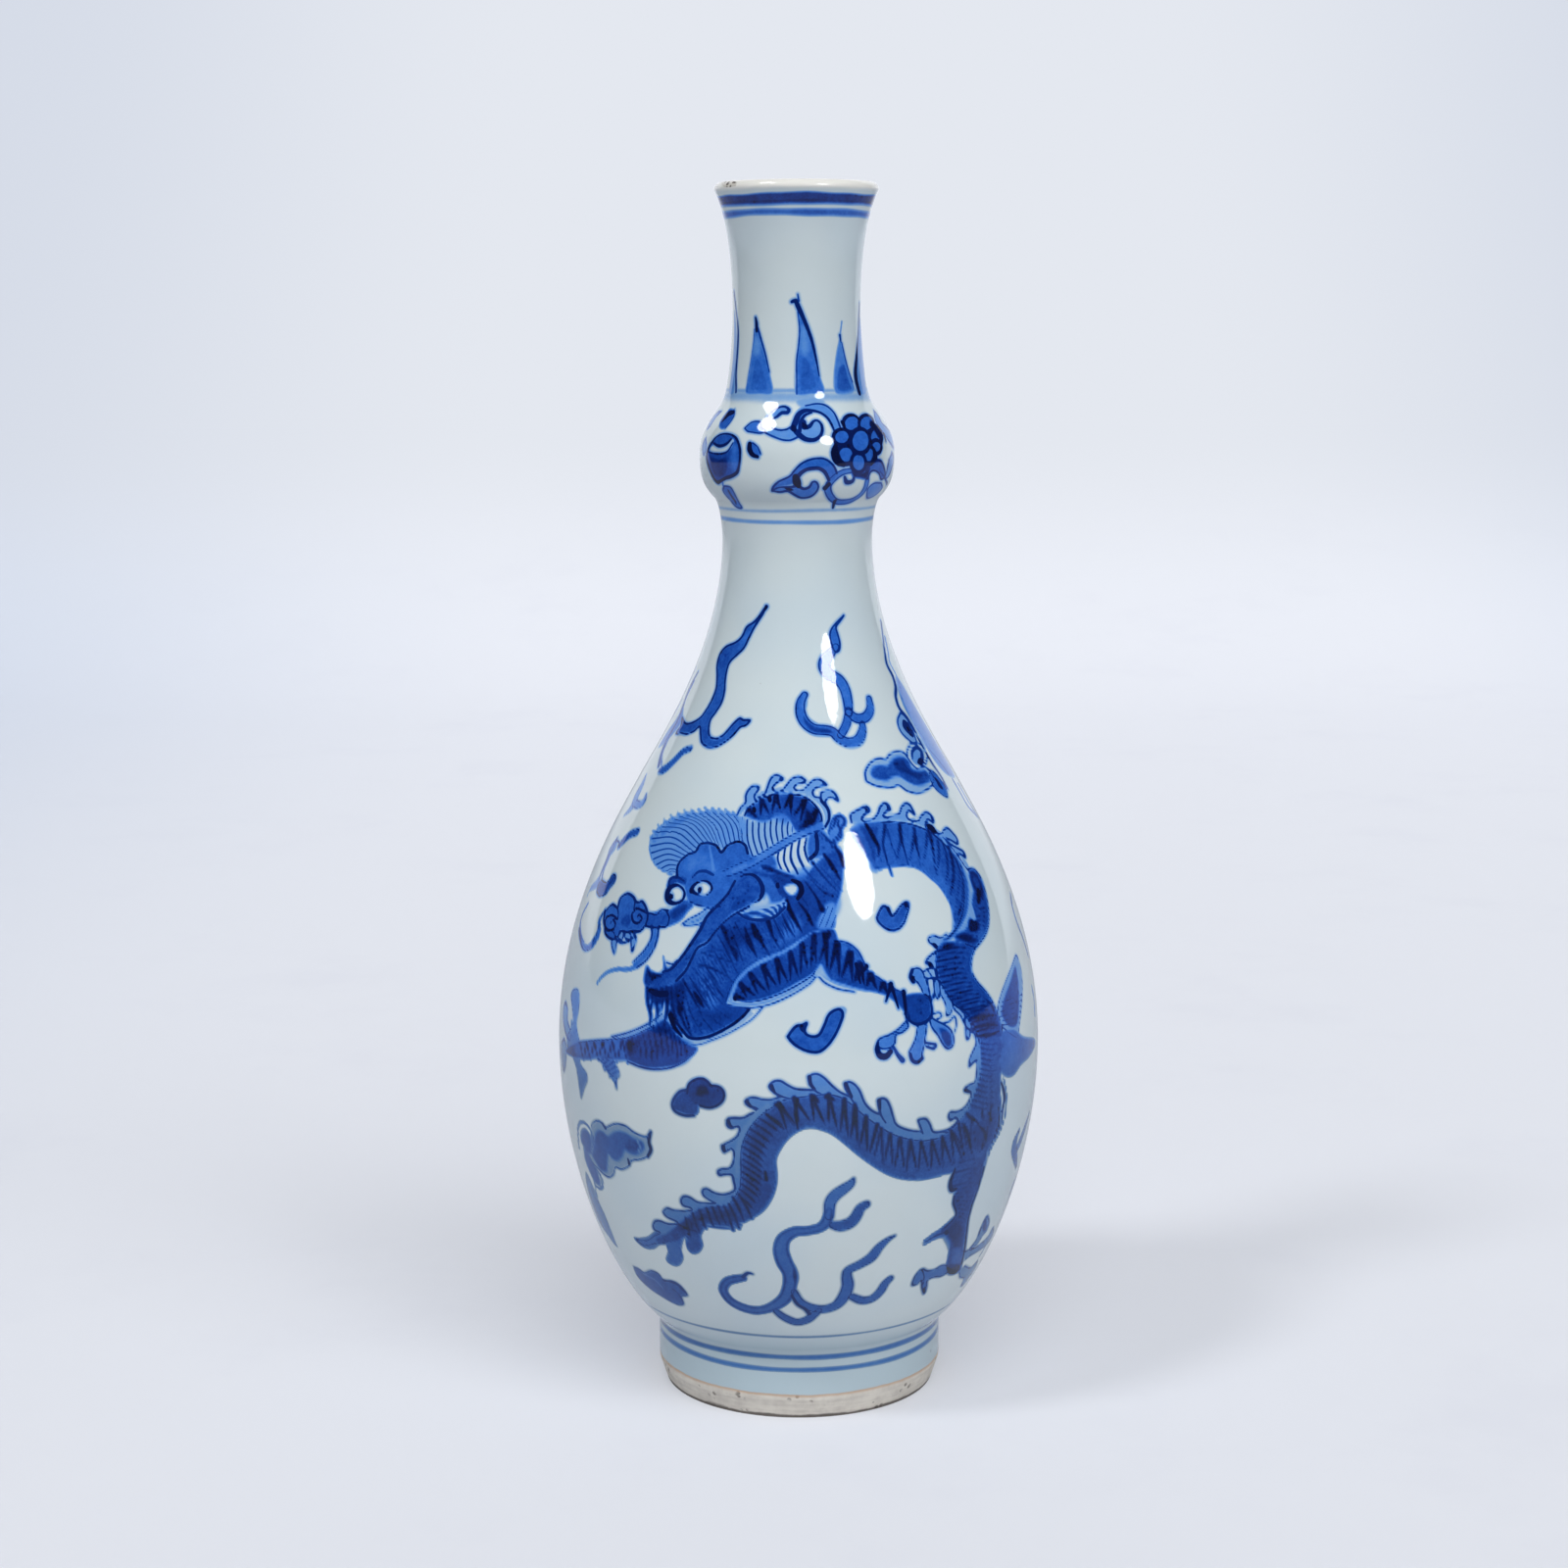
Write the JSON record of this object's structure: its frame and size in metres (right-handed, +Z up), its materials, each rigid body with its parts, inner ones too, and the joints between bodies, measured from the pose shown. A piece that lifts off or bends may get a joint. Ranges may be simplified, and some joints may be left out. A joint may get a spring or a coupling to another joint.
{
  "type": "gallbladder vase",
  "caption": "Porcelain bottle vase with a pear body, waisted neck, garlic bulb and flared open mouth, standing on a hollow foot ring, painted in underglaze blue.",
  "frame": {"origin": "centre of the foot's contact ring, on the ground", "axes": "+Z up along the turning axis, -Y towards the pictured side, +X to its right"},
  "size_m": [0.1088, 0.1088, 0.27],
  "materials": {
    "glazed_porcelain": "bluish white gloss glaze over cobalt blue brush painting",
    "foot_porcelain": "gloss glaze on the wall, bare sandy biscuit on the bevel and contact ring",
    "luting_slip": "fired matt slip"
  },
  "bodies": {
    "root": {"foot_ring": "foot_porcelain", "lower_body": "glazed_porcelain", "upper_body": "glazed_porcelain", "lower_neck": "glazed_porcelain", "garlic_bulb": "glazed_porcelain", "mouth": "glazed_porcelain", "foot_slip_seam": "luting_slip", "belly_slip_seam": "luting_slip", "neck_root_slip_seam": "luting_slip", "bulb_root_slip_seam": "luting_slip", "bulb_top_slip_seam": "luting_slip"}
  },
  "joints": []
}
